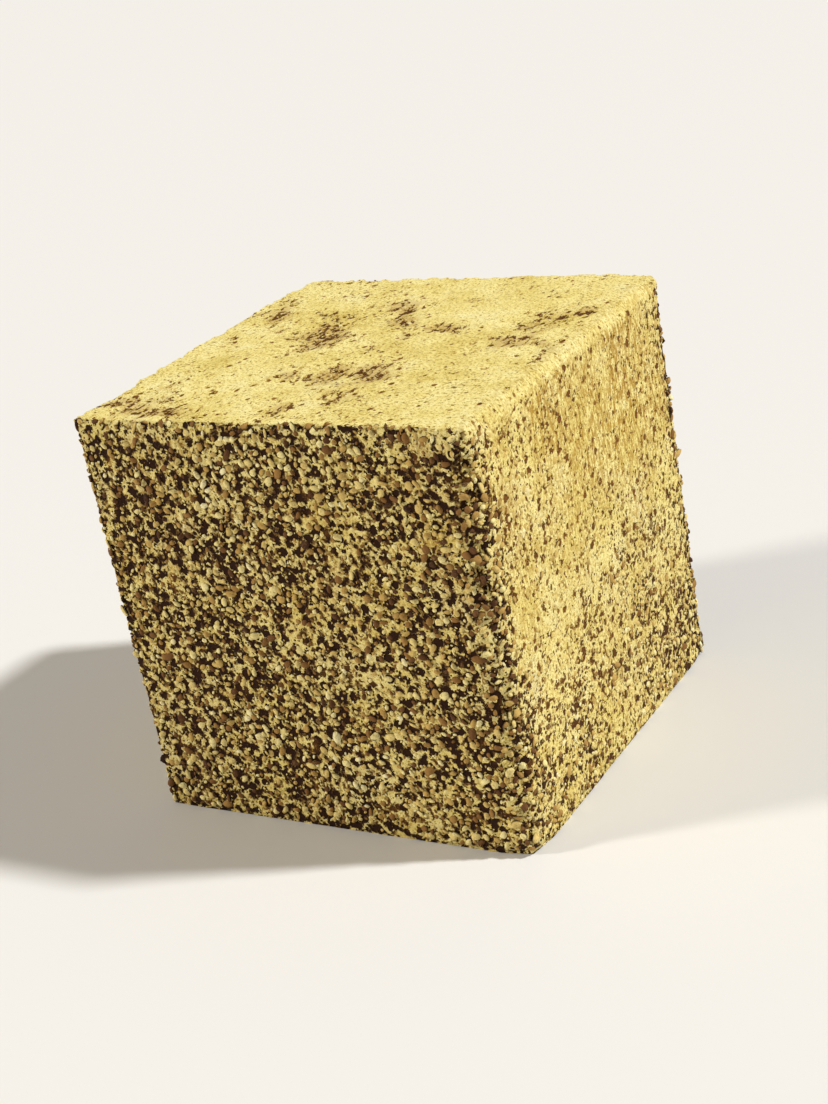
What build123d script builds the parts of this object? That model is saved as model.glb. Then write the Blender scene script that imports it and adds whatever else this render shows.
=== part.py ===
"""A cast concrete armour cube of a breakwater, about 25 tonnes, worn by the sea.

The block is one casting. It stands on the face it was cast on, with its front towards -Y and its
origin at the middle of the base. It is the overlap of three outlines, seen from above, from the
front and from the right, so each edge has a rounding of its own. One corner of the top is broken
off, and the top is worn into shallow hollows.
"""

import os
from math import asin, degrees

from build123d import *

# The mould's size
width = 2200  # left to right, along X
depth = 2200  # front to back, along Y
height = 2200  # base to top, along Z

# How far the four upright edges are worn round: the radius of each
front_left_edge = 30
front_right_edge = 120
back_left_edge = 45
back_right_edge = 80

# The same for the edges of the top face; the right one is a broad roll of mortar
top_front_edge = 22
top_back_edge = 35
top_left_edge = 26
top_right_edge = 100

# The edges of the base are nearly as sharp as they left the mould
base_edge = 15

# The broken corner, back left of the top: how far the break reaches along each edge that met there
break_along_back = 65
break_along_left = 140
break_down = 110

# A hollow worn into the top
hollow_length = 600
hollow_width = 290
hollow_depth = 12
past_rim = 1.2  # the barrel that cuts a hollow is longer than the hollow by this factor

# Where the hollows lie: the place across and back, as a share of the way from the middle to an edge,
# then how large each is, and the angle in degrees from X that its length takes
hollows = [
    (-0.40, 0.12, 1.25, 86),
    (0.05, -0.38, 1.20, 3),
    (0.65, 0.31, 0.80, 30),
    (0.55, -0.11, 0.70, 42),
    (0.21, -0.69, 0.72, 14),
    (-0.09, 0.53, 1.00, 90),
    (-0.56, -0.71, 1.00, 14),
]


def corner(outline, across, up):
    """The vertex of an outline that lies furthest towards (across, up)."""
    return outline.vertices().sort_by(lambda vertex: vertex.X * across + vertex.Y * up)[-1]


def arc_radius(chord, rise):
    """The radius of an arc that is this long from end to end and rises this much in between."""
    return ((chord / 2) ** 2 + rise**2) / (2 * rise)


with BuildPart() as armour_block:
    # Seen from above: the upright edges
    with BuildSketch() as plan:
        Rectangle(width, depth)
        fillet(corner(plan, -1, -1), front_left_edge)
        fillet(corner(plan, 1, -1), front_right_edge)
        fillet(corner(plan, -1, 1), back_left_edge)
        fillet(corner(plan, 1, 1), back_right_edge)
    extrude(amount=height)

    # Seen from the front: the left and right edges of the top and of the base
    with BuildSketch(Plane.XZ) as front_view:
        Rectangle(width, height, align=(Align.CENTER, Align.MIN))
        fillet(corner(front_view, -1, 1), top_left_edge)
        fillet(corner(front_view, 1, 1), top_right_edge)
        fillet(corner(front_view, -1, -1), base_edge)
        fillet(corner(front_view, 1, -1), base_edge)
    extrude(amount=depth / 2, both=True, mode=Mode.INTERSECT)

    # Seen from the right, where Y runs across: the front and back edges of the top and of the base
    with BuildSketch(Plane.YZ) as side_view:
        Rectangle(depth, height, align=(Align.CENTER, Align.MIN))
        fillet(corner(side_view, -1, 1), top_front_edge)
        fillet(corner(side_view, 1, 1), top_back_edge)
        fillet(corner(side_view, -1, -1), base_edge)
        fillet(corner(side_view, 1, -1), base_edge)
    extrude(amount=width / 2, both=True, mode=Mode.INTERSECT)

    # The break is one slanting plane, through a point on each of the three edges
    sharp_corner = Vector(-width / 2, depth / 2, height)
    outward = Vector(-1 / break_along_back, 1 / break_along_left, 1 / break_down)
    break_plane = Plane(origin=sharp_corner - Vector(0, 0, break_down), z_dir=outward)
    split(bisect_by=break_plane, keep=Keep.BOTTOM)

    # Each hollow is what the underside of a barrel takes off, lying on its side and dipping into the
    # top. The barrel is an arc turned about its own axis, and ends a little past the hollow's rim.
    for across, back, share, angle in hollows:
        dip = hollow_depth * share
        stave_radius = arc_radius(hollow_length * share, dip)
        girth_radius = arc_radius(hollow_width * share, dip)
        end = past_rim * hollow_length * share / 2
        half_turn = degrees(asin(end / stave_radius))
        middle = Vector(across * width / 2, back * depth / 2, height - dip + girth_radius)
        along = Vector(1, 0, 0).rotate(Axis.Z, angle)
        with BuildSketch(Plane(origin=middle, x_dir=along, z_dir=along.cross(Vector(0, 0, 1)))):
            with BuildLine():
                stave_centre = (0, stave_radius - girth_radius)
                stave = CenterArc(stave_centre, stave_radius, 270 - half_turn, 2 * half_turn)
                Polyline(stave @ 1, (end, 0), (-end, 0), stave @ 0)
            make_face()
        revolve(axis=Axis(middle, along), mode=Mode.SUBTRACT)

armour_block.part.label = "armour_block"

os.makedirs("parts", exist_ok=True)
export_step(armour_block.part, "parts/armour_block.step")
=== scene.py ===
# %% [markdown]
# # A concrete armour cube, worn by the sea
#
# The real object is one block of plain mass concrete, cast in a steel mould and laid on a breakwater
# by crane. The sea has washed the mortar out of its front, back and left sides, so that rounded
# gravel stands proud there with dark gaps between. The top and most of the right side have kept a
# pale skin of mortar, with a few streaks worn through it.
#
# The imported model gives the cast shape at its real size. This file dresses it: one closed body for
# the mortar, and joined pebbles for the gravel. Everything is in metres, in the model's own frame.

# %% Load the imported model
import itertools
import math

import bpy
import numpy as np
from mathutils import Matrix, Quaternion, Vector


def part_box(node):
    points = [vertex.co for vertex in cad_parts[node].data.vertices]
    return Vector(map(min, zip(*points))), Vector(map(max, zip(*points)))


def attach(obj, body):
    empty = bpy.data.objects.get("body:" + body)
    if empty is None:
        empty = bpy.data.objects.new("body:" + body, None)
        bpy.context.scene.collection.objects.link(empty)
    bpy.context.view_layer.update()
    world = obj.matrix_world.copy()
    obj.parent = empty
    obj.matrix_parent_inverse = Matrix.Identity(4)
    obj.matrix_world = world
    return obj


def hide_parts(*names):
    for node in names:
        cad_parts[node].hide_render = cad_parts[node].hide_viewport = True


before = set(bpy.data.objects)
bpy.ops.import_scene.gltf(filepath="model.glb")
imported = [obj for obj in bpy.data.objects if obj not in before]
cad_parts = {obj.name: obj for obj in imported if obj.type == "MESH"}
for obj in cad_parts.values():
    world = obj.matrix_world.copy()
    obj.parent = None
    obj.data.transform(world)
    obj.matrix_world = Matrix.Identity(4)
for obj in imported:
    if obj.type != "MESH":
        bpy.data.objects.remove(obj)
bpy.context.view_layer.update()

low, high = np.array([list(corner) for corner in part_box("armour_block")])
size = high - low
centre = (low + high) / 2
half = size / 2
print("block", size.round(3), "centre", centre.round(3))

# %% [markdown]
# ## The camera
#
# The photographer stood to the right of the block's front and above it. A camera fitted to the
# corners of the block's top gives where that was. It could be copied with a shifted lens, as the
# block lies low on the left of the picture, but a shift would push the block out of every other view.
# So the camera keeps its place and its lean, is turned to face the block, and has a longer lens.

# %% Place the camera
EYE_IN_WIDTHS = Vector((2.34, -3.48, 2.22))  # from the middle of the base, in block widths
LEAN = math.radians(10.9)  # how far the picture's upright leans to the block's right
AIM_HEIGHT = 0.47  # of the block's height
FOCAL_LENGTH = 62.0  # mm, with 36 mm along the picture's long side

aim = Vector((centre[0], centre[1], low[2] + AIM_HEIGHT * size[2]))
eye = Vector((centre[0], centre[1], low[2])) + EYE_IN_WIDTHS * size[0]
camera = bpy.data.objects.new("camera", bpy.data.cameras.new("camera"))
bpy.context.scene.collection.objects.link(camera)
camera.data.lens = FOCAL_LENGTH
camera.location = eye
camera.rotation_mode = "QUATERNION"
camera.rotation_quaternion = (aim - eye).to_track_quat("-Z", "Y") @ Quaternion((0, 0, 1), -LEAN)
bpy.context.scene.camera = camera
print("camera", [round(value, 2) for value in eye], "metres away", round((aim - eye).length, 2))

# %% [markdown]
# ## Chance that repeats
#
# Wear is chance, but the same block has to come out of every run. Value noise does that: each point
# of a lattice gets a fixed number by mixing the bits of its place, and the numbers are blended in
# between. It works on whole arrays of points, and its wavelength is a real size on the block. Random
# numbers in a fixed order would repeat too, but noise can be asked about any place by itself.
#
# Each use below is noted as one pattern: its wavelength, or three of them, from left to right, from
# front to back and up, then its number of layers, then a seed, which makes it unlike the others.
# Where the pattern is patches, two levels of the noise follow, where a patch starts and is whole.

# %% Noise in space
MIXERS = np.array((374761393, 668265263, 2246822519), np.uint64)  # large odd numbers, one per axis
SEED_MIXER = 3266489917
LAST_MIXER = np.uint64(1274126177)
SHIFTS = np.array((13, 16), np.uint64)
LOW_32_BITS = np.uint64(0xFFFFFFFF)
LOW_16_BITS = np.uint64(0xFFFF)


def lattice_value(cell, seed):
    """A fixed number from 0 to 1 for each lattice point, by mixing the bits of its three places."""
    places = np.moveaxis(cell.astype(np.int64).astype(np.uint64), -1, 0)
    mixed = sum(place * mixer for place, mixer in zip(places, MIXERS))
    mixed = (mixed + np.uint64(seed * SEED_MIXER)) & LOW_32_BITS
    mixed = ((mixed ^ (mixed >> SHIFTS[0])) * LAST_MIXER) & LOW_32_BITS
    return ((mixed ^ (mixed >> SHIFTS[1])) & LOW_16_BITS) / float(LOW_16_BITS)


def noise(points, wavelength, seed):
    """Smooth noise from -1 to 1: lattice values a wavelength apart, blended by a smooth step."""
    scaled = points / np.asarray(wavelength, dtype=float)
    cell = np.floor(scaled)
    blend = scaled - cell
    blend = blend * blend * (3 - 2 * blend)
    total = np.zeros(points.shape[:-1])
    for corner in itertools.product((0, 1), repeat=3):
        weight = np.prod(np.where(np.array(corner) == 1, blend, 1 - blend), axis=-1)
        total += weight * lattice_value(cell + np.array(corner), seed)
    return 2 * total - 1


def layered_noise(points, wavelength, layers, seed):
    """Noise in octaves, each with half the wavelength and half the strength of the one before."""
    octaves = range(layers)
    total = sum(noise(points, np.asarray(wavelength) / 2**n, seed + n) / 2**n for n in octaves)
    return total / sum(1 / 2**n for n in octaves)


def smooth_step(value, start, end):
    """0 up to start, 1 from end on, and an S-shaped rise between."""
    share = np.clip((value - start) / (end - start), 0, 1)
    return share * share * (3 - 2 * share)


def patches(points, wavelength, layers, seed, levels):
    """From 0 to 1: 0 where the noise is under the first of two levels, and 1 above the second."""
    return smooth_step(layered_noise(points, wavelength, layers, seed), *levels)


# %% [markdown]
# ## The worn shape
#
# The body starts as the sharp mould: a box. Three things happen to it, in this order. Its edges are
# rounded, each by its own radius, with chance added so that they run ragged. Its broken corner is
# pressed onto the plane of the break. Then the surface is washed back: by a pebble's depth on the
# sides, and hardly at all on the top, apart from the streaks.
#
# This could be done by sculpting or by modifiers. A formula for every point has the advantage that
# the pebbles can ask it where the surface is, so that they sit in it exactly.

# %% Round the edges
EDGES = [  # the two directions an edge faces, and the radius it is worn to
    ((-1, -1, 0), 0.030), ((1, -1, 0), 0.120), ((-1, 1, 0), 0.045), ((1, 1, 0), 0.080),
    ((0, -1, 1), 0.022), ((0, 1, 1), 0.035), ((-1, 0, 1), 0.026), ((1, 0, 1), 0.100),
    ((0, -1, -1), 0.015), ((0, 1, -1), 0.015), ((-1, 0, -1), 0.015), ((1, 0, -1), 0.015),
]
EDGE_REACH = 0.10  # how far an edge's own radius is felt
RAGGED = 0.22  # how much chance changes a radius
EDGE_CHANCE = (0.22, 3, 11)
SMALLEST_RADIUS = 0.008
TINY = 1e-9  # keeps a sum of weights above zero


def edge_radius(points):
    """The radius at each point: the twelve edges' radii, each weighted by how near its edge is."""
    total = np.zeros(len(points))
    weights = np.full(len(points), TINY)
    for sides, radius in EDGES:
        faces = np.array(sides)
        gap = np.linalg.norm((points - half * faces) * np.abs(faces), axis=1)
        weight = np.exp(-((gap / EDGE_REACH) ** 2)) + TINY
        total += weight * radius
        weights += weight
    chance = 1 + RAGGED * layered_noise(points, *EDGE_CHANCE)
    return np.maximum(total / weights * chance, SMALLEST_RADIUS)


def round_edges(points):
    """Pulls each point of the sharp box in by its radius on every axis, then pushes it back out
    by that radius in the direction it came from. Returns the place and that outward direction."""
    radius = edge_radius(points)[:, None]
    inner = np.clip(points, -half + radius, half - radius)
    away = points - inner
    outward = away / np.linalg.norm(away, axis=1, keepdims=True)
    return inner + radius * outward, outward


# %% Break the corner off
CORNER = np.array([-1, 1, 1])  # back left of the top
BREAK_REACH = np.array([0.065, 0.140, 0.110])  # along the back, along the left side, and down
BREAK_ROUGHNESS = 0.006
BREAK_CHANCE = (0.06, 2, 31)


def break_corner(points):
    """Presses what lies outside the plane of the break back onto it, with a rough face. Returns the
    place, and which points were pressed."""
    normal = CORNER / BREAK_REACH
    length = np.linalg.norm(normal)
    rough = BREAK_ROUGHNESS * layered_noise(points, *BREAK_CHANCE)
    outside = ((points - half * CORNER) @ normal + 1) / length - rough
    return points - np.maximum(outside, 0)[:, None] * normal / length, outside > 0


# %% [markdown]
# ## What the sea took away
#
# The top is the face that was trowelled, rich in mortar: it has low swells that run from front to
# back, shallow hollows, and streaks where the skin is pitted, each pit the bed of a lost stone. The
# front, back and left sides are washed out by about half a pebble, right from the top's edge. The
# right side is sheltered: it has kept most of its skin, and is washed out only near its upright
# edges, in patches and towards the base. Along the other edges of the top, bites are chipped off.
#
# Most kinds of wear below are a share from 0 to 1 that tells where, times a depth that tells how
# much. They could be painted on as well, but a share that is worked out can be asked for anywhere,
# and it also tells the materials what has happened at each point.

# %% Scatter pits by chance
STRETCH = 1.35  # the trowel drew the pits out from front to back
BEND = 0.014  # how far chance may shift a pit's rim
BEND_CHANCE = ((0.036, 2, 45), (0.036, 2, 47))  # one for each way
PIT_SIZES = (0.5, 0.9)  # the smallest, as a share of the mean radius, and what chance may add
PIT_WALL = (0.45, 1.0)  # where a pit's wall starts and ends, as a share of its radius


def bent(points):
    """The points shifted sideways by noise, so that what is round becomes irregular."""
    shift = [layered_noise(points, *pattern) for pattern in BEND_CHANCE]
    return points + BEND * np.stack([*shift, np.zeros(len(points))], -1)


def scattered_pits(points, spacing, density, radius, seed):
    """Oval pits seen from above, from 0 at the rim to 1 in the middle. Each square of a lattice may
    hold one, at a place and with a radius of its own, and holds it if its fixed number is under the
    density."""
    flat = bent(points) * (1, 1, 0)
    cell = np.floor(flat / spacing)
    depth = np.zeros(len(points))
    smallest, spread = PIT_SIZES
    for step in itertools.product((-1, 0, 1), repeat=2):
        near = cell + np.array((*step, 0))
        place = np.stack([lattice_value(near, seed), lattice_value(near, seed + 1)], -1)
        reach = radius * (smallest + spread * lattice_value(near, seed + 2))
        offset = flat[:, :2] - (near[:, :2] + place) * spacing
        distance = np.linalg.norm(offset / (1, STRETCH), axis=1) / reach
        held = lattice_value(near, seed + 3) < density
        depth = np.maximum(depth, held * (1 - smooth_step(distance, *PIT_WALL)))
    return depth


# %% Place the hollows of the top
HOLLOWS = [  # place as a share of the way from the middle to an edge, how large, angle from X
    (-0.40, 0.12, 1.25, 86), (0.05, -0.38, 1.20, 3), (0.65, 0.31, 0.80, 30), (0.55, -0.11, 0.70, 42),
    (0.21, -0.69, 0.72, 14), (-0.09, 0.53, 1.00, 90), (-0.56, -0.71, 1.00, 14),
]
HOLLOW_LENGTH = 0.60
HOLLOW_WIDTH = 0.29
HOLLOW_DEPTH = 0.012
HOLLOW_END = 1.25  # where a bowl runs out, if 1 is the rim of its oval
HOLLOW_TORN = 0.15  # how far chance moves that
HOLLOW_CHANCE = (0.16, 2, 43)


def oval_distance(points, middle, length, width, angle):
    """How far each point is from the middle of an oval seen from above, where 1 is its rim: its
    places along and across the oval, each over half of that size, taken together as one length."""
    turn = math.radians(angle)
    x, y = points[:, 0] - middle[0], points[:, 1] - middle[1]
    along = x * math.cos(turn) + y * math.sin(turn)
    across = y * math.cos(turn) - x * math.sin(turn)
    return np.hypot(along / (length / 2), across / (width / 2))


def hollows(points):
    """The depth of the hollows in metres: each an oval bowl with a soft rim, torn by chance."""
    torn = HOLLOW_TORN * layered_noise(points, *HOLLOW_CHANCE)
    depth = np.zeros(len(points))
    for across, back, share, angle in HOLLOWS:
        middle = (across * half[0], back * half[1])
        distance = oval_distance(points, middle, HOLLOW_LENGTH * share, HOLLOW_WIDTH * share, angle)
        bowl = 1 - smooth_step(distance + torn, 0.0, HOLLOW_END)
        depth = np.maximum(depth, HOLLOW_DEPTH * share * bowl)
    return depth


# %% Place the worn streaks and single holes of the top
STREAKS = [  # middle x and y, length, width, angle of the length from X, and how worn in the middle
    (-0.42, 0.12, 0.68, 0.27, 107, 1.05), (-0.09, 0.48, 0.62, 0.20, 122, 0.90),
    (0.86, 0.40, 0.44, 0.34, 60, 1.05), (0.73, 0.03, 0.36, 0.24, 105, 0.95),
    (0.98, -0.14, 0.30, 0.13, 100, 0.80), (0.30, 0.23, 0.30, 0.14, 170, 0.90),
    (0.15, 0.65, 0.24, 0.13, 0, 0.80), (0.46, 0.87, 0.34, 0.13, 146, 0.70),
    (-0.06, -0.39, 0.38, 0.27, 30, 1.00), (0.21, -0.42, 0.44, 0.27, 130, 0.95),
    (0.21, -0.72, 0.36, 0.22, 20, 0.95), (0.04, -0.91, 0.26, 0.22, 90, 0.85),
    (-0.90, -0.87, 0.54, 0.36, 20, 0.85), (-0.58, -0.98, 0.50, 0.20, 172, 0.85),
    (-0.93, 0.50, 0.46, 0.22, 115, 0.85), (-0.87, 0.02, 0.40, 0.12, 125, 0.65),
    (0.04, -0.07, 0.26, 0.10, 140, 0.75),
]
STREAK_FADE = (1.12, 0.48)  # how worn a middle is, and how much less at the rim of the oval
STREAK_TORN = 0.75  # how much chance changes it
STREAK_CHANCE = (0.12, 4, 41)
STREAK_RISE = (0.22, 1.18)  # where the sum begins to show, and where all skin is gone
HOLES = [  # middle x and y, and radius
    (-0.34, -0.59, 0.027), (-0.68, -0.33, 0.024), (-0.36, -0.73, 0.018), (-0.81, -0.57, 0.020),
    (0.29, -0.67, 0.021), (-0.93, 0.65, 0.024), (-0.23, 0.72, 0.020), (0.87, 0.08, 0.020),
    (-0.84, -0.79, 0.020),
]
HOLE_WALL = (0.4, 1.1)  # where a hole's wall starts and ends, as a share of its radius


def streaks(points):
    """From 0 to 1, how worn the skin is: a soft oval for each streak, torn by chance at its rim."""
    worn = np.zeros(len(points))
    most, fade = STREAK_FADE
    for x, y, length, width, angle, share in STREAKS:
        distance = oval_distance(points, (x, y), length, width, angle)
        worn = np.maximum(worn, share * (most - fade * distance))
    torn = STREAK_TORN * layered_noise(points, *STREAK_CHANCE)
    return smooth_step(worn + torn, *STREAK_RISE)


def holes(points):
    """From 0 to 1, the larger holes that single lost stones left: round, with a soft lip."""
    depth = np.zeros(len(points))
    points = bent(points)
    for x, y, radius in HOLES:
        distance = np.hypot(points[:, 0] - x, points[:, 1] - y) / radius
        depth = np.maximum(depth, 1 - smooth_step(distance, *HOLE_WALL))
    return depth


# %% Find where the sides are washed
SKIN = {  # for each side: how far the top's skin reaches over its edge, and how torn its line is
    (0, -1): (-0.006, 0.026), (1, 0): (0.060, 0.060), (0, 1): (0.045, 0.030), (-1, 0): (0.040, 0.028),
}
SKIN_CHANCE = (0.13, 3, 51)
SHELTER_FRONT = (0.09, 0.26)  # where the sheltered part starts, from the front edge
SHELTER_BACK = (0.07, 0.20)  # and from the back edge
SHELTER_TORN = 0.06  # how far chance moves both
SHELTER_CHANCE = (0.22, 3, 55)
KEPT = (0.80, 0.50)  # the share of its skin that it keeps, and how much chance changes that
KEPT_CHANCE = (0.45, 4, 57)
LOWER_LOSS = 0.45  # how much less it keeps once it is this far below the top:
LOWER_PART = (0.3, 1.9)
BRIDGED = 0.4  # how much of the washing is undone where mortar bridges the stones
BRIDGES = (0.07, 2, 59, (0.25, 0.5))
OFF_LEVEL = (0.02, 0.45)  # how far the surface has to turn down from the top to be washed


def sheltered(points):
    """From 0 to 1, how much of its skin the right side has kept: none at its upright edges, most in
    between, with patches of less, and less towards the base."""
    y = points[:, 1] + SHELTER_TORN * layered_noise(points, *SHELTER_CHANCE)
    middle = smooth_step(half[1] + y, *SHELTER_FRONT) * smooth_step(half[1] - y, *SHELTER_BACK)
    lower = smooth_step(half[2] - points[:, 2], *LOWER_PART)
    kept = KEPT[0] + KEPT[1] * layered_noise(points, *KEPT_CHANCE) - LOWER_LOSS * lower
    return middle * np.clip(kept, 0, 1)


def washed(points, outward):
    """From 0 to 1, how far the mortar is washed out: none on the top, and on a side all of it once
    a torn line is crossed, apart from what is sheltered and where mortar bridges the stones."""
    shares = {face: np.clip(outward[:, 0] * face[0] + outward[:, 1] * face[1], 0, 1) for face in SKIN}
    total = sum(shares.values()) + TINY
    below_top = half[2] - points[:, 2]
    tear = layered_noise(points, *SKIN_CHANCE)
    amount = 0
    for face, (reach, torn) in SKIN.items():
        crossed = smooth_step(below_top - reach - torn * tear, -torn, torn)
        kept = 1 - sheltered(points) if face == (1, 0) else 1
        amount = amount + shares[face] / total * crossed * kept
    amount = amount * (1 - BRIDGED * patches(points, *BRIDGES))
    return amount * smooth_step(1 - outward[:, 2], *OFF_LEVEL)


# %% Wear the top
SWELL_DEPTH = 0.007
SWELLS = ((0.30, 1.10, 0.5), 2, 81)
RIPPLE_DEPTH = 0.008
RIPPLES = ((0.09, 0.17, 0.2), 2, 86)
FLAKE_DEPTH = 0.003  # where the skin has come off in sheets
FLAKES = ((0.13, 0.30, 0.2), 3, 84, (0.02, 0.14))
STREAK_DEPTH = 0.005
PIT_SPACING = 0.036
PIT_DENSITY = (0.02, 0.36)  # the share of squares with a pit, and what is added in the streaks
PIT_RADIUS = 0.0125
PIT_DEPTH = 0.013
PIT_SEED = 75
HOLE_DEPTH = 0.020


def wear_top(points, top):
    """How deep the top is worn in metres, and three shares from 0 to 1: how worn it is, how deep in
    a pit, and how flaked. Each kind of wear is a depth times its share, and they add up."""
    worn = top * streaks(points)
    density = PIT_DENSITY[0] + PIT_DENSITY[1] * worn
    pit = top * scattered_pits(points, PIT_SPACING, density, PIT_RADIUS, PIT_SEED)
    pit = np.maximum(pit, top * holes(points))
    swell = 0.5 + 0.5 * layered_noise(points, *SWELLS)
    ripple = 0.5 + 0.5 * layered_noise(points, *RIPPLES)
    flaked = top * patches(points, *FLAKES)
    depth = top * (SWELL_DEPTH * swell + RIPPLE_DEPTH * ripple + hollows(points))
    depth += top * (FLAKE_DEPTH * flaked + STREAK_DEPTH * worn)
    depth += np.where(holes(points) > 0, HOLE_DEPTH, PIT_DEPTH) * pit
    return depth, worn, pit, flaked


# %% Chip the edges
TURNED = (0.0, 0.22)  # how far the surface has to turn off a face to count as its edge
ROLL_SPARED = 0.9  # how much less the rolled edge is chipped than the others
CHIP_DEPTH = 0.024
CHIPS = (0.08, 3, 95, (0.06, 0.45))
NICK_DEPTH = 0.014
NICKS = (0.045, 2, 97, (-0.10, 0.30))
NOTCH_DEPTH = 0.022
NOTCHES = (0.085, 3, 103, (0.0, 0.32))
NOTCH_REACH = (0.012, 0.050)  # all of a notch up to here from the top's edge, and none from there
ROLL_REACH = (0.08, 0.16)  # none up to here from the right side, and all of it from there


def notches(points):
    """From 0 to 1, how much is bitten off along the edges of the top, apart from the rolled one."""
    inset = (half[:2] - np.abs(points[:, :2])).min(axis=1)
    near = 1 - smooth_step(inset + half[2] - points[:, 2], *NOTCH_REACH)
    unrolled = smooth_step(half[0] - points[:, 0], *ROLL_REACH)
    return near * unrolled * patches(points, *NOTCHES)


def chip_edges(points, outward, roll):
    """How deep the edges are chipped in metres, and from 0 to 1 how notched each point is, and how
    much of it any of the three took off: large chips, small nicks, and notches along the top."""
    on_edge = smooth_step(1 - np.abs(outward).max(axis=1), *TURNED) * (1 - ROLL_SPARED * roll)
    chipped = on_edge * patches(points, *CHIPS)
    nicked = on_edge * patches(points, *NICKS)
    notched = notches(points)
    depth = CHIP_DEPTH * chipped + NICK_DEPTH * nicked + NOTCH_DEPTH * notched
    return depth, notched, np.maximum.reduce([chipped, nicked, notched])


# %% Find where running water has stained the skin, and the painted shade of the rolled edge
STAIN_START = (0.05, 0.11)  # below the top
STAINS = ((0.30, 0.30, 0.55), 3, 107, (-0.45, 0.20))
STAIN_WASHED = 0.6  # how much of it goes with the skin that is washed off
STAIN_FADED = 0.45  # how much fades once it is this far below the top:
STAIN_FADE = (0.25, 1.30)
# Painted shade: darkens the rolled edge, which faces the key lamp and would render brighter than the
# top.
ROLL_SHADE = 0.26


def water_stain_and_roll_shade(points, top, washing, roll):
    """From 0 to 1, how stained the sides are: from just below the top's edge, in patches, less where
    the skin is washed off and further down; and a little painted shade on the rolled edge, to tone
    down its light."""
    below_top = half[2] - points[:, 2]
    stain_and_shade = (1 - top) * smooth_step(below_top, *STAIN_START) * (1 - STAIN_WASHED * washing)
    stain_and_shade *= patches(points, *STAINS) * (1 - STAIN_FADED * smooth_step(below_top, *STAIN_FADE))
    return np.maximum(stain_and_shade, ROLL_SHADE * roll)


# %% Count the dots
FEWEST_DOTS = 0.05  # how many dots there are anywhere, and what each of the next adds
CROWD_DOTS = 0.28
CAST_DOTS = 0.12  # on the sides, which were cast against steel
WASHED_DOTS = 0.64
WORN_DOTS = 0.12
FLAKED_DOTS = 0.08
NOTCHED_DOTS = 0.60
STAINED_DOTS = 0.13
ROLL_CLEAN = 0.45  # how many less there are on the rolled edge
CROWDS = (0.42, 3, 99, (-0.25, 0.45))
CAST_START = (0.03, 0.16)  # below the top


def dotted(points, top, roll, washing, worn, flaked, notched, stain_and_shade):
    """How specked with dots each point is: the sum of what every kind of wear adds there."""
    crowded = patches(points, *CROWDS)
    cast = smooth_step(half[2] - points[:, 2], *CAST_START)
    specked = (FEWEST_DOTS + CROWD_DOTS * crowded) * (1 - ROLL_CLEAN * roll)
    specked += WORN_DOTS * worn + FLAKED_DOTS * flaked + NOTCHED_DOTS * top * notched
    return specked + (1 - top) * (CAST_DOTS * cast + WASHED_DOTS * washing) + STAINED_DOTS * stain_and_shade


# %% Put the wear together
FACING_UP = (0.7, 1.0)  # the upward part of the outward direction where the top starts and is whole
ON_ROLL = (0.04, 0.25)  # the rolled edge, by the upward part times the part to the right
WASH_DEPTH = 0.013
WASH_CURVE = 1.5  # keeps it shallow where little is washed
WASH_UNEVEN = 0.35  # how much chance changes it
WASH_CHANCE = (0.42, 2, 61)
SIDE_UNEVEN = 0.004
SIDE_CHANCE = (0.06, 2, 71)
SKIN_GRAIN = 0.0034
GRAIN_CHANCE = ((0.021, 0.050, 0.03), 2, 91)
BREAK_WASHED = 0.85  # how washed a broken or chipped place looks
AT_BASE = 1e-6


def wear(sharp):
    """Where each point of the sharp box ends up, and five shares that tell the finish there: how
    washed it is, how worn, how deep in a pit, how specked with dots, and how stained by water, with
    painted shade on the rolled edge.
    Points are measured from the block's middle. All depths add up and are taken off along the
    outward direction."""
    points, outward = round_edges(sharp)
    points, broken = break_corner(points)
    top = smooth_step(outward[:, 2], *FACING_UP)
    roll = smooth_step(outward[:, 0] * outward[:, 2], *ON_ROLL)
    side = washed(points, outward)
    top_depth, worn, pit, flaked = wear_top(points, top)
    edge_depth, notched, chipped = chip_edges(points, outward, roll)
    uneven = 1 + WASH_UNEVEN * layered_noise(points, *WASH_CHANCE)
    depth = side**WASH_CURVE * WASH_DEPTH * uneven
    depth += side * SIDE_UNEVEN * layered_noise(points, *SIDE_CHANCE)
    depth += top_depth + edge_depth
    depth += SKIN_GRAIN * (1 + layered_noise(points, *GRAIN_CHANCE)) * (1 - side)
    moved = points - depth[:, None] * outward
    base = sharp[:, 2] < AT_BASE - half[2]
    moved[:, 2] = np.where(base, points[:, 2], moved[:, 2])
    washing = np.maximum(side, BREAK_WASHED * np.maximum(broken, chipped))
    stain_and_shade = water_stain_and_roll_shade(points, top, washing, roll)
    specked = dotted(points, top, roll, washing, worn, flaked, notched, stain_and_shade)
    shares = {"washed": washing, "worn": worn, "pit": pit, "specked": specked, "streaked": stain_and_shade}
    return moved, shares


# %% [markdown]
# ## The body
#
# The top is a grid of squares about 9 mm wide, which is fine enough for its pits. Below its edge,
# loops of points run round the four sides. The first few follow the edge closely. Then every third
# point is enough, because pebbles cover the sides, so one row of six-cornered faces goes from the
# fine loops to the coarse ones. The flat base is one face. A fine grid all round would be simpler,
# but most of its triangles would lie under the pebbles.

# %% Lay out the lines
EDGE_ZONE = 0.06
EDGE_SQUARES = 9  # across the edge zone
MIDDLE_SQUARES = 228  # between the two edge zones
THINNED = 3  # one of so many points is kept lower down
FINE_LEVELS = (  # below the top
    0.007, 0.014, 0.021, 0.029, 0.037, 0.046, 0.056, 0.068, 0.082, 0.098, 0.116, 0.136, 0.158,
)
COARSE_LEVELS = 58
LAST_LEVELS = (0.03, 0.02, 0.012, 0.005, 0.0)  # above the base
BASE_INSETS = (0.005, 0.012, 0.025)  # rings of the base inside its rim


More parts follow.
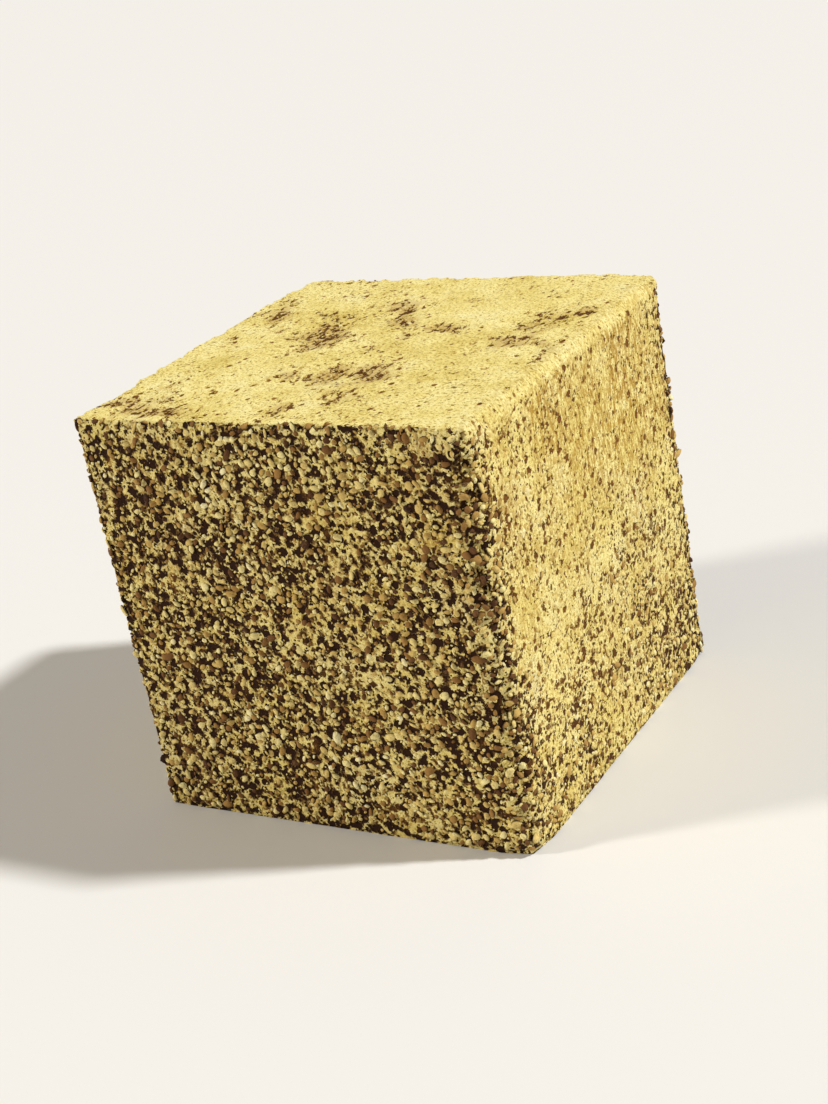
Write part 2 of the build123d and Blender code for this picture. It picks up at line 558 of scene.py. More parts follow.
def lines_across(reach):
    """Grid lines from one side of the top to the other, closer together at both edges."""
    edge = np.linspace(0, EDGE_ZONE, EDGE_SQUARES + 1)[:-1]
    middle = np.linspace(EDGE_ZONE - reach, reach - EDGE_ZONE, MIDDLE_SQUARES + 1)
    return np.concatenate([edge - reach, middle, (reach - edge)[::-1]])


# %% Make its points and faces
def belt(upper, lower):
    """Faces between two closed loops of point numbers, counter-clockwise from outside. Where the
    lower loop has fewer points, each face takes several steps of the upper one."""
    steps = len(upper) // len(lower)
    first = np.arange(len(lower)) * steps
    over = [upper[(first + n) % len(upper)] for n in range(steps, -1, -1)]
    return np.stack([lower, np.roll(lower, -1), *over], -1).tolist()


def block_shell():
    """The sharp block: a grid for the top, loops round the sides and the base's rim, one base."""
    x_lines, y_lines = lines_across(half[0]), lines_across(half[1])
    grid = np.stack(np.meshgrid(x_lines, y_lines, [half[2]], indexing="ij"), -1)[:, :, 0]
    number = np.arange(grid.shape[0] * grid.shape[1]).reshape(grid.shape[:2])
    faces = np.stack([number[:-1, :-1], number[1:, :-1], number[1:, 1:], number[:-1, 1:]], -1)
    faces = faces.reshape(-1, 4).tolist()
    rim = np.concatenate([number[:-1, 0], number[-1, :-1], number[:0:-1, -1], number[0, :0:-1]])
    outline = grid.reshape(-1, 3)[rim]
    fine = [outline - (0, 0, below) for below in FINE_LEVELS]
    levels = np.linspace(half[2] - FINE_LEVELS[-1], LAST_LEVELS[0] - half[2], COARSE_LEVELS)[1:]
    levels = [*levels, *(above - half[2] for above in LAST_LEVELS[1:])]
    thinned = outline[::THINNED]
    coarse = [np.column_stack([thinned[:, :2], np.full(len(thinned), level)]) for level in levels]
    base = [coarse[-1] * (1 - inset / half[0], 1 - inset / half[1], 1) for inset in BASE_INSETS]
    points, upper = [grid.reshape(-1, 3)], rim
    for loop in [*fine, *coarse, *base]:
        lower = sum(len(part) for part in points) + np.arange(len(loop))
        faces += belt(upper, lower)
        points.append(loop)
        upper = lower
    return np.concatenate(points), faces + [upper[::-1].tolist()]


def new_object(name, points, faces, values):
    """A smooth-shaded object at the origin, with one number per point for each named attribute."""
    mesh = bpy.data.meshes.new(name)
    mesh.from_pydata(points.tolist(), [], faces)
    mesh.polygons.foreach_set("use_smooth", np.ones(len(mesh.polygons), bool))
    for attribute, numbers in values.items():
        layer = mesh.attributes.new(attribute, "FLOAT", "POINT")
        layer.data.foreach_set("value", np.asarray(numbers, dtype=np.float32))
    mesh.update()
    obj = bpy.data.objects.new(name, mesh)
    bpy.context.scene.collection.objects.link(obj)
    return obj


sharp, faces = block_shell()
points, finish = wear(sharp)
body = new_object("mortar_body", points + centre, faces, finish)
print("body", len(points), "points", sum(len(face) - 2 for face in faces), "triangles")

# %% [markdown]
# ## The gravel
#
# The aggregate is rounded gravel, mostly 20 to 50 mm across, and a washed side shows thousands of
# stones. Each is the outer part of a pebble with a flat back inside the mortar, so that it is closed
# and costs few triangles. Their places are a hexagonal grid with chance added, which packs them as
# evenly as poured gravel, with smaller stones in the gaps. Noise could lift the body's own surface
# instead, but it makes lumps that melt into each other, and real stones have clear rims.

# %% Make a pebble's form
def pebble_form(ring_angles, ring_points):
    """A unit pebble: its tip, rings of points at these angles from it, and triangles between them,
    with a flat back."""
    turn = np.arange(ring_points) * 2 * np.pi / ring_points
    rings = [np.stack([np.sin(a) * np.cos(turn), np.sin(a) * np.sin(turn),
                       np.full(ring_points, np.cos(a))], -1) for a in np.radians(ring_angles)]
    form = np.concatenate([[[0, 0, 1]], *rings])
    first, after = np.arange(ring_points), (np.arange(ring_points) + 1) % ring_points
    faces = [np.stack([np.zeros(ring_points, int), 1 + first, 1 + after], -1)]
    for ring in range(len(rings) - 1):
        upper, lower = 1 + ring * ring_points, 1 + (ring + 1) * ring_points
        faces.append(np.stack([upper + first, lower + first, lower + after], -1))
        faces.append(np.stack([upper + first, lower + after, upper + after], -1))
    back = 1 + (len(rings) - 1) * ring_points
    fan = np.arange(1, ring_points - 1)
    faces.append(np.stack([np.full(len(fan), back), back + fan + 1, back + fan], -1))
    return form, np.concatenate(faces)


LARGE_STONE = pebble_form((34, 66, 98), 8)
SMALL_STONE = pebble_form((48, 98), 6)
print("large stone", len(LARGE_STONE[1]), "triangles, small stone", len(SMALL_STONE[1]))

# %% Set many pebbles into a surface
TALLEST = 0.020  # half the height of the largest
WAVES = (0.07, 0.06)  # how strong the two waves round a stone's girth are
BUMPS = 0.09  # how much chance moves each point
HALF_LENGTH = (0.95, 1.35)  # from and to, as shares of the radius
HALF_WIDTH = (0.68, 1.0)
HALF_HEIGHT = (0.6, 1.0)
SLOPE = 0.28  # how far stones lean in their beds
TONES = (0.05, 0.95)  # from the darkest stone to the lightest
TONE_ZONES = 0.16  # how much zones change that
ZONE_CHANCE = (0.38, 3, 121)
FOOT = 0.2  # how far below its girth a stone's foot is, as a share of its height


def set_pebbles(stone, places, normals, across, radius, proud, bare, chance):
    """Copies the stone to every place: stretched to an oval, bent by two waves round its girth,
    turned by chance about the normal, and sunk until only the stated share stands proud. Returns
    the points, the triangles and each point's tone, lift above the foot, and bareness."""
    form, form_faces = stone
    count = len(places)
    side = np.cross(normals, across)
    side /= np.linalg.norm(side, axis=1, keepdims=True)
    across = np.cross(side, normals)
    turn = chance.uniform(0, 2 * np.pi, count)[:, None]
    first = np.cos(turn) * across + np.sin(turn) * side
    second = np.cross(normals, first)
    girth = np.arctan2(form[:, 1], form[:, 0])[None]
    wave_1, wave_2 = chance.uniform(0, 2 * np.pi, (2, count, 1))
    lumps = 1 + WAVES[0] * np.cos(2 * girth + wave_1) + WAVES[1] * np.cos(3 * girth + wave_2)
    lumps = lumps + chance.normal(0, BUMPS, (count, len(form)))
    long_way = radius * chance.uniform(*HALF_LENGTH, count)
    short_way = radius * chance.uniform(*HALF_WIDTH, count)
    height = np.minimum(radius, TALLEST) * chance.uniform(*HALF_HEIGHT, count)
    x = form[None, :, 0] * lumps * long_way[:, None]
    y = form[None, :, 1] * lumps * short_way[:, None]
    lean = chance.normal(0, SLOPE, (2, count, 1))
    z = (form[None, :, 2] - 1 + proud[:, None]) * height[:, None] + lean[0] * x + lean[1] * y
    points = places[:, None] + x[..., None] * first[:, None] + y[..., None] * second[:, None]
    points = points + z[..., None] * normals[:, None]
    faces = form_faces[None] + len(form) * np.arange(count)[:, None, None]
    zones = TONE_ZONES * layered_noise(places, *ZONE_CHANCE)
    tone = np.repeat(np.clip(chance.uniform(*TONES, count) + zones, 0, 1), len(form))
    lift = np.tile(np.clip((form[:, 2] + FOOT) / (1 + FOOT), 0, 1), count)
    return points.reshape(-1, 3), faces.reshape(-1, 3), tone, lift, np.repeat(bare, len(form))


def gravel_piece(name, *sets):
    """One piece made of several sets of pebbles."""
    starts = np.cumsum([0] + [len(part[0]) for part in sets[:-1]])
    points = np.concatenate([part[0] for part in sets]) + centre
    faces = np.concatenate([part[1] + start for part, start in zip(sets, starts)])
    tone, lift, bare = (np.concatenate([part[n] for part in sets]) for n in (2, 3, 4))
    print(name, len(faces), "triangles")
    return new_object(name, points, faces.tolist(), {"tone": tone, "lift": lift, "bare": bare})


# %% Find places for stones
PROBE = 0.012  # how far to each side the surface is felt


def surface_at(sharp, along, up):
    """The worn place, its outward normal and its sideways direction, by a small step each way."""
    middle, finish = wear(sharp)
    sideways = wear(sharp + PROBE * along)[0] - wear(sharp - PROBE * along)[0]
    upwards = wear(sharp + PROBE * up)[0] - wear(sharp - PROBE * up)[0]
    normal = np.cross(sideways, upwards)
    return middle, normal / np.linalg.norm(normal, axis=1, keepdims=True), sideways, finish


def hexagonal(width, height, pitch, shift):
    """Points of a hexagonal grid over a rectangle about the origin, moved by a share of the pitch."""
    rows = np.arange(-height / 2, height / 2, pitch * math.sqrt(3) / 2) + shift[1] * pitch
    columns = np.arange(-width / 2, width / 2, pitch) + shift[0] * pitch
    u, v = np.meshgrid(columns, rows)
    u = u + (np.arange(len(rows)) % 2)[:, None] * pitch / 2
    return u.ravel(), v.ravel()


# %% Cover the four sides
PITCH = 0.045  # from one large stone's middle to the next
JITTER = 0.17  # of the pitch
LARGE_RADIUS = 0.0166
SMALL_RADIUS = 0.0088
LARGEST_RADIUS = 0.028
SIZE_SPREAD = 0.26  # how much chance changes the logarithm of a radius
SIZE_ZONES = ((0.20, 0.21, 111), (0.12, 0.07, 112))  # how much zones change it, wavelength and seed
LARGE_SHARE = 0.72  # of the places that hold a stone
SMALL_SHARE = 0.80
SMALL_SHIFT = (0.5, 0.29)  # puts small stones in the gaps between the large ones, in pitches
EDGE_MARGIN = 0.004
BASE_MARGIN = 0.026
PROUD = (0.3, 0.9)  # the share of a stone that stands proud, where all mortar is washed out
LEAST_PROUD = 0.08  # what is left of that share where none is
WASHED_ENOUGH = (0.04, 0.4)  # a stone shows where the washing is above a number between these
ABOVE_BASE = 1.5  # how far a stone keeps off the base, in radii
FIRST_SEED = 101
SIDES = {  # the way each side faces, the way along it, and how far below the top's edge stones stay
    "front": ((0, -1, 0), (1, 0, 0), 0.002), "right": ((1, 0, 0), (0, 1, 0), 0.02),
    "back": ((0, 1, 0), (-1, 0, 0), 0.02), "left": ((-1, 0, 0), (0, -1, 0), 0.02),
}


def side_stones(stone, mean_radius, held, shift, side, chance):
    """Stones of one size on a share of the places of a jittered hexagonal grid over a side,
    wherever it is washed."""
    outward, along, up = (np.array(way) for way in (*SIDES[side][:2], (0, 0, 1)))
    width, height = 2 * half @ np.abs(along), 2 * half[2]
    u, v = hexagonal(width, height, PITCH, shift)
    u, v = u + chance.normal(0, JITTER * PITCH, len(u)), v + chance.normal(0, JITTER * PITCH, len(v))
    inside = (np.abs(u) < width / 2 - EDGE_MARGIN) & (v < height / 2 - EDGE_MARGIN)
    inside &= v > -height / 2 + BASE_MARGIN
    u, v = u[inside], v[inside]
    sharp = (half @ np.abs(outward)) * outward + u[:, None] * along + v[:, None] * up
    place, normal, sideways, finish = surface_at(sharp, along, up)
    washing = finish["washed"]
    zones = sum((by * noise(place, length, seed) for by, length, seed in SIZE_ZONES), 1)
    radius = mean_radius * zones * np.exp(chance.normal(0, SIZE_SPREAD, len(u)))
    radius = np.minimum(radius, LARGEST_RADIUS)
    proud = chance.uniform(*PROUD, len(u))
    proud *= LEAST_PROUD + (1 - LEAST_PROUD) * washing**WASH_CURVE
    below_top = half[2] - place[:, 2]
    keep = washing > chance.uniform(*WASHED_ENOUGH, len(u))
    keep &= (below_top > radius + SIDES[side][2]) & (place[:, 2] + half[2] > ABOVE_BASE * radius)
    keep &= chance.uniform(0, 1, len(u)) < held
    return set_pebbles(stone, place[keep], normal[keep], sideways[keep], radius[keep],
                       proud[keep], washing[keep], chance)


def gravel_side(side, seed):
    """The stones of one side: large ones, and small ones in their gaps."""
    chance = np.random.default_rng(seed)
    large = side_stones(LARGE_STONE, LARGE_RADIUS, LARGE_SHARE, (0, 0), side, chance)
    small = side_stones(SMALL_STONE, SMALL_RADIUS, SMALL_SHARE, SMALL_SHIFT, side, chance)
    return gravel_piece("gravel_" + side, large, small)


gravel = [gravel_side(side, FIRST_SEED + n) for n, side in enumerate(SIDES)]

# %% [markdown]
# ## Stones of the top
#
# Where the skin of the top is worn through, the same gravel shows, lower and with less of it proud.
# A few single stones show elsewhere too. They could be set one by one, but chance that follows the
# wear keeps them in the streaks, wherever a streak is moved.

# %% Set the stones of the top
TOP_PITCH = 0.036
TOP_JITTER = 0.010
TOP_MARGINS = (0.10, 0.03)  # off the left and right edges, and off the front and back ones
TOP_RADIUS = 0.0105
TOP_SPREAD = 0.25
STRAY_SHARE = 0.04  # of the places, where chance puts a stone though little is worn
STRAY_CHANCE = (0.5, 205)  # the wavelength and seed of the zones with more and fewer of them
WORN_ENOUGH = (0.1, 1.8)  # a stone shows where the wear is above a number between these
BARED = 0.3  # where the wear is above this, a stone stands proud by the first of these shares
BARED_PROUD = (0.2, 0.6)
STRAY_PROUD = (0.12, 0.3)
TOP_BARE = 0.5  # how bare of mortar a stone is where all is worn
TOP_SEED = 201

chance = np.random.default_rng(TOP_SEED)
u, v = hexagonal(2 * half[0], 2 * half[1], TOP_PITCH, (0, 0))
u, v = u + chance.normal(0, TOP_JITTER, len(u)), v + chance.normal(0, TOP_JITTER, len(v))
inside = (np.abs(u) < half[0] - TOP_MARGINS[0]) & (np.abs(v) < half[1] - TOP_MARGINS[1])
sharp_top = np.stack([u[inside], v[inside], np.full(inside.sum(), half[2])], -1)
place, normal, sideways, finish = surface_at(sharp_top, np.array((1, 0, 0)), np.array((0, 1, 0)))
worn = finish["worn"]
stray = chance.uniform(0, 1, len(place)) < STRAY_SHARE * (1 + noise(place, *STRAY_CHANCE))
keep = (worn > chance.uniform(*WORN_ENOUGH, len(place))) | stray
radius = TOP_RADIUS * np.exp(chance.normal(0, TOP_SPREAD, len(place)))
bared_proud = chance.uniform(*BARED_PROUD, len(place))
proud = np.where(worn > BARED, bared_proud, chance.uniform(*STRAY_PROUD, len(place)))
top_stones = set_pebbles(SMALL_STONE, place[keep], normal[keep], sideways[keep], radius[keep],
                         proud[keep], TOP_BARE * worn[keep], chance)
gravel.append(gravel_piece("gravel_top", top_stones))

# %% [markdown]
# ## Materials
#
# Both finishes are concrete, so both are dull, with an index of refraction of about 1.5. What tells
# them apart is colour and grain. Colours are written as hex values from a colour picker. Each noise
# texture is noted as a dictionary, where the scale is 1000 over a real size in millimetres. Single
# grains of sand, 1 to 4 mm across, are too fine to show, so the grit is drawn coarser, at 15 mm.

# %% Colour and node helpers
CONCRETE_IOR = 1.5


def linear(hex_colour):
    """An sRGB hex colour as the linear colour that shaders work in."""
    parts = [int(hex_colour[i : i + 2], 16) / 255 for i in (1, 3, 5)]
    return [p / 12.92 if p <= 0.04045 else ((p + 0.055) / 1.055) ** 2.4 for p in parts] + [1.0]


def add_node(tree, kind, inputs=None, stops=(), **settings):
    """Adds a shader node of a kind with its settings, and with the stops of a colour ramp: places
    from 0 to 1 and their hex colours. Each input, by its name or number, is linked where a socket is
    given, or a node, of which the first output in use is taken, and set to any other value."""
    node = tree.nodes.new("ShaderNode" + kind)
    for name, value in settings.items():
        setattr(node, name, value)
    if stops:
        elements = node.color_ramp.elements
        elements.remove(elements[1])
        elements[0].position, elements[0].color = stops[0][0], linear(stops[0][1])
        for place, colour in stops[1:]:
            elements.new(place).color = linear(colour)
    for name, value in (inputs or {}).items():
        if isinstance(value, bpy.types.Node):
            value = next(output for output in value.outputs if output.enabled)
        if isinstance(value, bpy.types.NodeSocket):
            tree.links.new(value, node.inputs[name])
        else:
            node.inputs[name].default_value = value
    return node


def new_material(name):
    """A material with an empty node tree."""
    material = bpy.data.materials.new(name)
    material.use_nodes = True
    material.node_tree.nodes.clear()
    return material, material.node_tree


def roughened(tree, value, noise, amount):
    """The value with the noise added, up to half the amount either way, so that rims run ragged."""
    ragged = add_node(tree, "Math", {0: noise, 1: amount, 2: -amount / 2}, operation="MULTIPLY_ADD")
    return add_node(tree, "Math", {0: value, 1: ragged}, operation="ADD")


# %% [markdown]
# ## Weathered mortar
#
# Cement mortar, trowelled on the top and cast against steel on the sides, then bleached by sun and
# salt: cream, with sandy blotches and grit, and tan where its skin is gone. Water that ran down the
# sides has left golden brown runs. Where mortar and small stones have come away, pits are left:
# irregular and often run together. A stained rim and painted shade darken each towards its bottom,
# which is brown with growth, and painted shade makes them almost black where the mortar is washed.
# The largest of them are in the mesh already.
#
# It could be painted by hand on a flat layout of the block. Noise in the block's own coordinates is
# chosen instead, because it has no seams, and the shares that the wear left on each point can tell
# it where the mortar is washed, worn, pitted, specked or stained.

# %% Weathered mortar: its colour
GRIT = {"Scale": 1000 / 15, "Detail": 3.0, "Roughness": 0.75}
BLOTCHES = {"Scale": 1000 / 300, "Detail": 10.0, "Roughness": 0.76}
RUNS = {"Scale": 1000 / 20, "Detail": 4.0, "Roughness": 0.7}
RUN_SHAPE = (1.0, 1.0, 1 / 3)  # a run of brown water is three times as long as it is wide
SANDY = [(0.30, "#dcc770"), (0.41, "#eedc86"), (0.52, "#faec9e"), (0.68, "#fff8ba")]
GRAINS = [(0.28, "#9a8a5c"), (0.38, "#cdbd92"), (0.47, "#f4efe2"), (0.55, "#ffffff")]
TAN_WEIGHTS = (7.0, 6.0, 1.0, 2.5)  # how much grit, blotches, washing and wear count towards tan
TAN_START = 7.90  # what their sum has to pass
PATCH_TAN = 0.50  # how tan the mortar is in patches past that
WASHED_TAN = 0.06  # and what is added where it is washed


def mortar_colour(tree, place, share):
    """The colour of the mortar, and its grit: sandy, tan where it is bared, with brown runs."""
    grit = add_node(tree, "TexNoise", {"Vector": place, **GRIT})
    blotch = add_node(tree, "TexNoise", {"Vector": place, **BLOTCHES})
    sandy = add_node(tree, "ValToRGB", {"Fac": blotch}, SANDY)
    grains = add_node(tree, "ValToRGB", {"Fac": grit}, GRAINS)
    grained = add_node(tree, "Mix", {"Factor": 1.0, "A": sandy, "B": grains}, data_type="RGBA",
                       blend_type="MULTIPLY")
    parts = (grit, blotch, share["washed"], share["worn"])
    patchy = -TAN_START
    for part, weight in zip(parts, TAN_WEIGHTS):  # only the whole sum is clamped
        patchy = add_node(tree, "Math", {0: part, 1: weight, 2: patchy}, operation="MULTIPLY_ADD",
                          use_clamp=part is parts[-1])
    washed_tan = add_node(tree, "Math", {0: share["washed"], 1: WASHED_TAN}, operation="MULTIPLY")
    tan = add_node(tree, "Math", {0: patchy, 1: PATCH_TAN, 2: washed_tan}, operation="MULTIPLY_ADD")
    tanned = add_node(tree, "Mix", {"Factor": tan, "A": grained, "B": linear("#ad7c3c")},
                      data_type="RGBA")
    drawn_out = add_node(tree, "VectorMath", {0: place, 1: RUN_SHAPE}, operation="MULTIPLY")
    runs = add_node(tree, "TexNoise", {"Vector": drawn_out, **RUNS})
    run = add_node(tree, "MapRange", {"Value": runs, "From Min": 0.44, "From Max": 0.56})
    run = add_node(tree, "Math", {0: run, 1: share["streaked"]}, operation="MULTIPLY")
    streaked = add_node(tree, "Mix", {"Factor": run, "A": tanned, "B": linear("#ad7f1c")},
                        data_type="RGBA")
    return streaked, grit


# %% Weathered mortar: its pits
SPECKS = {"Scale": 1000 / 38, "Detail": 1.2, "Roughness": 0.5, "Distortion": 0.4}
SPECK_LEVELS = (0.72, 0.45)  # the noise shows above this where nothing is specked, and where all is
SPECK_RISE = 0.20  # how far above that a speck is deepest
CRUMBS = {"Scale": 1000 / 29, "Detail": 2.0, "Roughness": 0.6}  # crumbled away in worn streaks
CRUMB_SHAPE = (1.0, 0.4, 1.0)  # longer from front to back
CRUMB_LEVELS = (0.71, 0.49)  # as for specks, where nothing is worn, and where all is
CRUMB_RISE = 0.07
PIT_RAGGED = 0.9  # how much the grit changes a pit's rim
DOT_SIZES = (25, 62)  # how far apart the dots of each size are, in millimetres
DOT_REACH = 0.13  # the radius of a dot as a share of that, where nothing is specked
CROWDED_REACH = 0.22  # and what is added where all is
OWN_REACH = (0.30, 1.4)  # a dot's own share of that radius at least, and what chance adds
DOT_RAGGED = 0.34  # how much the grit changes a dot's rim
DOT_WALL = 0.11  # how far inside the rim a dot is deepest


def peaks(tree, lumps, share, levels, rise):
    """From 0 to 1, how far a noise is above a level, over the rise. The level goes from the first to
    the second of two as the share goes from 0 to 1."""
    level = add_node(tree, "MapRange", {"Value": share, "To Min": levels[0], "To Max": levels[1]})
    above = add_node(tree, "Math", {0: lumps, 1: level}, operation="SUBTRACT")
    return add_node(tree, "MapRange", {"Value": above, "From Max": rise})


def dots(tree, place, grit, share, apart):
    """From 0 to 1, how deep in a dot each place is. The dots are balls round scattered points, cut by
    the surface. A ball is larger where more is specked, and the grit makes its rim ragged."""
    balls = add_node(tree, "TexVoronoi", {"Vector": place, "Scale": 1000 / apart})
    own = add_node(tree, "Math", {0: balls.outputs["Color"], 1: OWN_REACH[1], 2: OWN_REACH[0]},
                   operation="MULTIPLY_ADD")
    reach = add_node(tree, "Math", {0: share["specked"], 1: CROWDED_REACH, 2: DOT_REACH},
                     operation="MULTIPLY_ADD")
    reach = add_node(tree, "Math", {0: reach, 1: own}, operation="MULTIPLY")
    distance = roughened(tree, balls.outputs["Distance"], grit, DOT_RAGGED)
    inside = add_node(tree, "Math", {0: reach, 1: distance}, operation="SUBTRACT")
    deepest = add_node(tree, "MapRange", {"Value": share["specked"], "From Min": 0.10,
                                          "From Max": 0.50, "To Min": 0.45})
    return add_node(tree, "MapRange", {"Value": inside, "From Max": DOT_WALL, "To Max": deepest})


def mortar_pits(tree, place, grit, share):
    """From 0 to 1, how deep in a pit each place is: the deepest of specks where much is specked, the
    pits of the mesh with a ragged rim, crumbs where the skin is worn, and dots of two sizes."""
    lumps = add_node(tree, "TexNoise", {"Vector": place, **SPECKS})
    speck = peaks(tree, lumps, share["specked"], SPECK_LEVELS, SPECK_RISE)
    pit = roughened(tree, share["pit"], grit, PIT_RAGGED)
    pit = add_node(tree, "MapRange", {"Value": pit, "From Min": 0.28, "From Max": 0.70})
    drawn_out = add_node(tree, "VectorMath", {0: place, 1: CRUMB_SHAPE}, operation="MULTIPLY")
    crumbs = add_node(tree, "TexNoise", {"Vector": drawn_out, **CRUMBS})
    crumb = peaks(tree, crumbs, share["worn"], CRUMB_LEVELS, CRUMB_RISE)
    deepest = speck
    for other in [pit, crumb, *(dots(tree, place, grit, share, apart) for apart in DOT_SIZES)]:
        deepest = add_node(tree, "Math", {0: deepest, 1: other}, operation="MAXIMUM")
    return deepest


# %% Weathered mortar: both together
PIT_BENDS = {"Scale": 1000 / 22, "Detail": 2.0, "Roughness": 0.6}
BEND_REACH = (0.030,) * 3  # how far that may shift a pit, each way
BOTTOM_RAGGED = 1.2  # how much the grit changes where the bottom starts
DENT_DEPTH = 0.006
WASHED_DENT = 0.009  # how much deeper a dent is where all is washed


def weathered_mortar():
    """Mortar with pits: a rim round each, stain with painted shade, and growth with painted shade
    on its bottom. Both are darker where the mortar is washed, which is painted shade as well."""
    material, tree = new_material("weathered_mortar")
    place = add_node(tree, "TexCoord").outputs["Object"]
    share = {name: add_node(tree, "Attribute", attribute_name=name).outputs["Fac"]
             for name in ("washed", "worn", "pit", "specked", "streaked")}
    mortar, grit = mortar_colour(tree, place, share)
    bend = add_node(tree, "TexNoise", {"Vector": place, **PIT_BENDS}).outputs["Color"]
    shifted = add_node(tree, "VectorMath", {0: bend, 1: BEND_REACH, 2: place},
                       operation="MULTIPLY_ADD")
    hollow = mortar_pits(tree, shifted, grit, share)
    # Painted shade: where the mortar is washed, the pits' rims and bottoms are darkened towards near
    # black.
    washed_shade = add_node(tree, "MapRange", {"Value": share["washed"], "From Min": 0.25, "From Max": 0.95})
    growth_and_shade = add_node(tree, "Mix", {"Factor": share["worn"], "A": linear("#7c4e18"),
                                    "B": linear("#5e3a14")}, data_type="RGBA")
    growth_and_shade = add_node(tree, "Mix", {"Factor": washed_shade, "A": growth_and_shade, "B": linear("#2c1300")},
                      data_type="RGBA")
    stain_and_shade = add_node(tree, "Mix", {"Factor": washed_shade, "A": linear("#b8903f"), "B": linear("#8c6a34")},
                     data_type="RGBA")
    # Painted shade with stain: the colour darkens from the mortar into each pit's wall.
    rim = add_node(tree, "MapRange", {"Value": hollow, "From Max": 0.35})
    rimmed = add_node(tree, "Mix", {"Factor": rim, "A": mortar, "B": stain_and_shade}, data_type="RGBA")
    # Painted shade with growth: the bottom of each pit gets the darkest colour.
    shaded_bottom = roughened(tree, hollow, grit, BOTTOM_RAGGED)
    shaded_bottom = add_node(tree, "MapRange", {"Value": shaded_bottom, "From Min": 0.22, "From Max": 0.66})
    colour = add_node(tree, "Mix", {"Factor": shaded_bottom, "A": rimmed, "B": growth_and_shade}, data_type="RGBA")
    fine = add_node(tree, "Bump", {"Height": grit, "Strength": 0.9, "Distance": 0.009})
    depth = add_node(tree, "Math", {0: share["washed"], 1: WASHED_DENT, 2: DENT_DEPTH},
                     operation="MULTIPLY_ADD")
    dents = add_node(tree, "Bump", {"Height": hollow, "Normal": fine, "Strength": 0.9,
                                    "Distance": depth}, invert=True)
    finish = {"Base Color": colour, "Normal": dents, "IOR": CONCRETE_IOR, "Roughness": 0.92,
              "Specular IOR Level": 0.2}
    add_node(tree, "OutputMaterial", {"Surface": add_node(tree, "BsdfPrincipled", finish)})
    return material


# %% [markdown]
# ## Washed gravel
#
# Rounded gravel, rolled by water long before it was cast in: cream to tan, a few stones orange brown
# or dark, each with a film of mortar left on it. Round its foot, growth and painted shade darken it,
# almost to black where the mortar is washed. Thousands of stones
# could have a few materials between them, dealt out by chance. One material that reads a tone from
# each stone gives every one of them a colour of its own, with no more pieces.

# %% Mix the gravel's finish
STONES = [(0.0, "#3a1f10"), (0.10, "#5e3a1c"), (0.24, "#956a34"), (0.42, "#cba65a"),
          (0.64, "#e8cf80"), (0.86, "#f8e8a0"), (1.0, "#fff4c0")]
MOTTLING = {"Scale": 1000 / 14, "Detail": 4.0, "Roughness": 0.7}
FILM_RAGGED = 0.9  # how much the mottling changes where the film ends


def washed_gravel():
    """Stones of many tones: dirty in spots, under a film of mortar unless bare, dark at the foot with
    growth and painted shade.
    """
    material, tree = new_material("washed_gravel")
    place = add_node(tree, "TexCoord").outputs["Object"]
    share = {name: add_node(tree, "Attribute", attribute_name=name).outputs["Fac"]
             for name in ("tone", "lift", "bare")}
    stone = add_node(tree, "ValToRGB", {"Fac": share["tone"]}, STONES)
    mottle = add_node(tree, "TexNoise", {"Vector": place, **MOTTLING})
    dirt = add_node(tree, "MapRange", {"Value": mottle, "From Min": 0.34, "From Max": 0.50,
                                       "To Min": 0.5, "To Max": 0.0})
    dirty = add_node(tree, "Mix", {"Factor": dirt, "A": stone, "B": linear("#7f5c28")},
                     data_type="RGBA")
    bare = roughened(tree, share["bare"], mottle, FILM_RAGGED)
    bare = add_node(tree, "MapRange", {"Value": bare, "From Min": 0.15, "From Max": 0.70})
    filmed = add_node(tree, "Mix", {"Factor": bare, "A": linear("#dcc26c"), "B": dirty},
                      data_type="RGBA")
    # Painted shade with growth: each stone darkens towards its foot, most where it is bare and
    # washed.
    growth_and_shade = add_node(tree, "Mix", {"Factor": share["bare"], "A": linear("#7a4e1e"),
                                    "B": linear("#2c1506")}, data_type="RGBA")
    foot_shade = add_node(tree, "MapRange", {"Value": share["lift"], "From Min": 0.20, "From Max": 0.62,
                                       "To Min": 0.95, "To Max": 0.0})
    colour = add_node(tree, "Mix", {"Factor": foot_shade, "A": filmed, "B": growth_and_shade}, data_type="RGBA")
    bump = add_node(tree, "Bump", {"Height": mottle, "Strength": 0.8, "Distance": 0.006})
    finish = {"Base Color": colour, "Normal": bump, "IOR": CONCRETE_IOR, "Roughness": 0.85,
              "Specular IOR Level": 0.3}
    add_node(tree, "OutputMaterial", {"Surface": add_node(tree, "BsdfPrincipled", finish)})
    return material


# %% Dress the pieces and tie them to the model
body.data.materials.append(weathered_mortar())
gravel_finish = washed_gravel()
for piece in gravel:
    piece.data.materials.append(gravel_finish)
for piece in [body, *gravel]:
    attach(piece, "root")
    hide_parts("armour_block")
print("pieces", [piece.name for piece in [body, *gravel]])

# %% [markdown]
# ## Floor and light
#
# The sun of the photograph comes from behind on the right, so the front is in the shade. The studio
# keeps that direction with a soft lamp and fills the shade, so that the front can be seen too. A
# picture of a sky could light the block as well, but lamps can be aimed and need no picture.

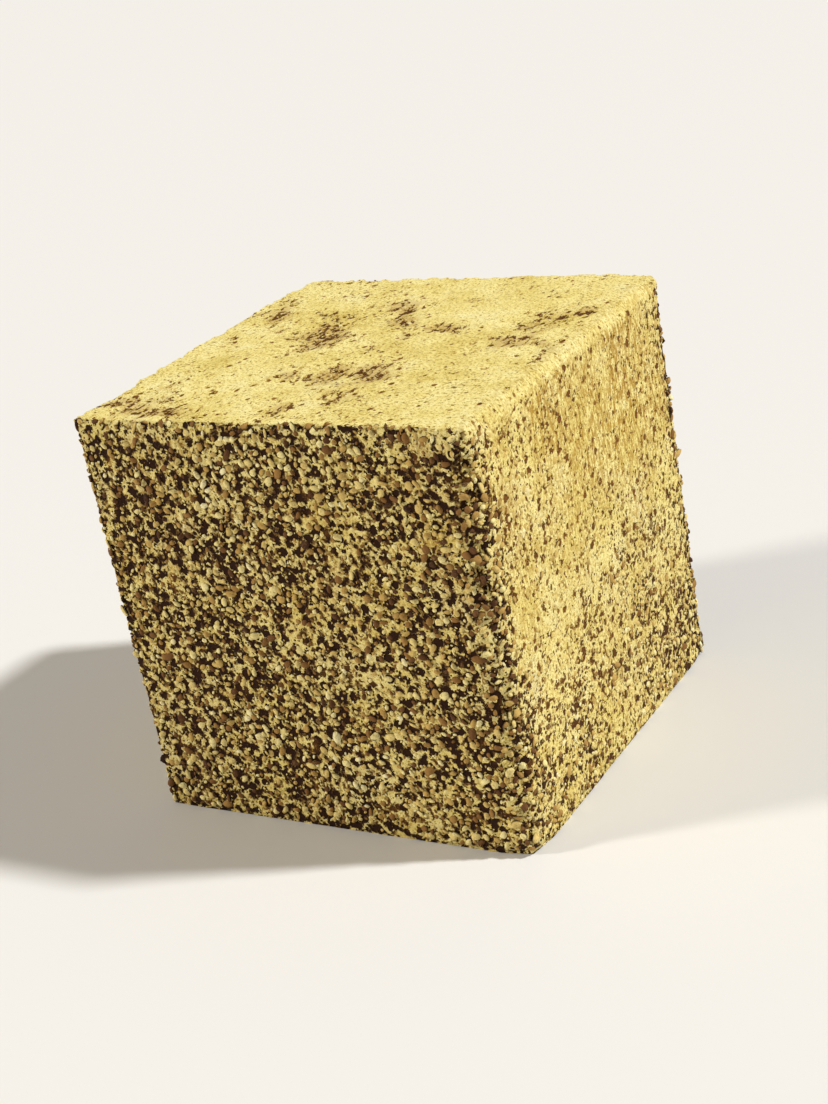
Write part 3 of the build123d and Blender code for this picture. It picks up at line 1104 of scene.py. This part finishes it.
# %% Lay the floor
FLOOR_REACH = 400.0
FLOOR_COLOUR = "#e9e8e5"
FLOOR_CORNERS = ((-1, -1), (1, -1), (1, 1), (-1, 1))

floor_mesh = bpy.data.meshes.new("floor")
floor_points = [(x * FLOOR_REACH, y * FLOOR_REACH, low[2]) for x, y in FLOOR_CORNERS]
floor_mesh.from_pydata(floor_points, [], [(0, 1, 2, 3)])
floor = bpy.data.objects.new("floor", floor_mesh)
bpy.context.scene.collection.objects.link(floor)
floor_material, floor_tree = new_material("matt_floor")
floor_finish = {"Base Color": linear(FLOOR_COLOUR), "Roughness": 0.95}
floor_shader = add_node(floor_tree, "BsdfPrincipled", floor_finish)
add_node(floor_tree, "OutputMaterial", {"Surface": floor_shader})
floor_mesh.materials.append(floor_material)
print("floor at", round(low[2], 4))

# %% Hang the lamps
def add_lamp(name, direction, strength, softness, colour):
    """A sun lamp that shines from a direction, as soft as a lamp this many degrees across."""
    lamp = bpy.data.lights.new(name, "SUN")
    lamp.energy = strength
    lamp.angle = math.radians(softness)
    lamp.color = linear(colour)[:3]
    obj = bpy.data.objects.new(name, lamp)
    obj.rotation_mode = "QUATERNION"
    obj.rotation_quaternion = Vector(direction).to_track_quat("Z", "Y")
    bpy.context.scene.collection.objects.link(obj)


add_lamp("key", (0.68, 0.25, 0.70), 2.95, 4.0, "#ffffff")
add_lamp("fill", (-0.78, -0.50, 0.38), 1.95, 8.0, "#fff8ee")

# %% Set the sky and what the camera sees of it
SKY_LIGHT = 0.24
SKY_COLOUR = "#fff6ea"
BACKDROP = "#f0ece5"

world = bpy.data.worlds.new("studio")
bpy.context.scene.world = world
world.use_nodes = True
sky = world.node_tree
sky.nodes.clear()
light = add_node(sky, "Background", {"Color": linear(SKY_COLOUR), "Strength": SKY_LIGHT})
seen = add_node(sky, "Background", {"Color": linear(BACKDROP), "Strength": 1.0})
path = add_node(sky, "LightPath")
mixed = add_node(sky, "MixShader", {0: path.outputs["Is Camera Ray"], 1: light, 2: seen})
add_node(sky, "OutputWorld", {"Surface": mixed})
bpy.context.scene.view_settings.view_transform = "Standard"
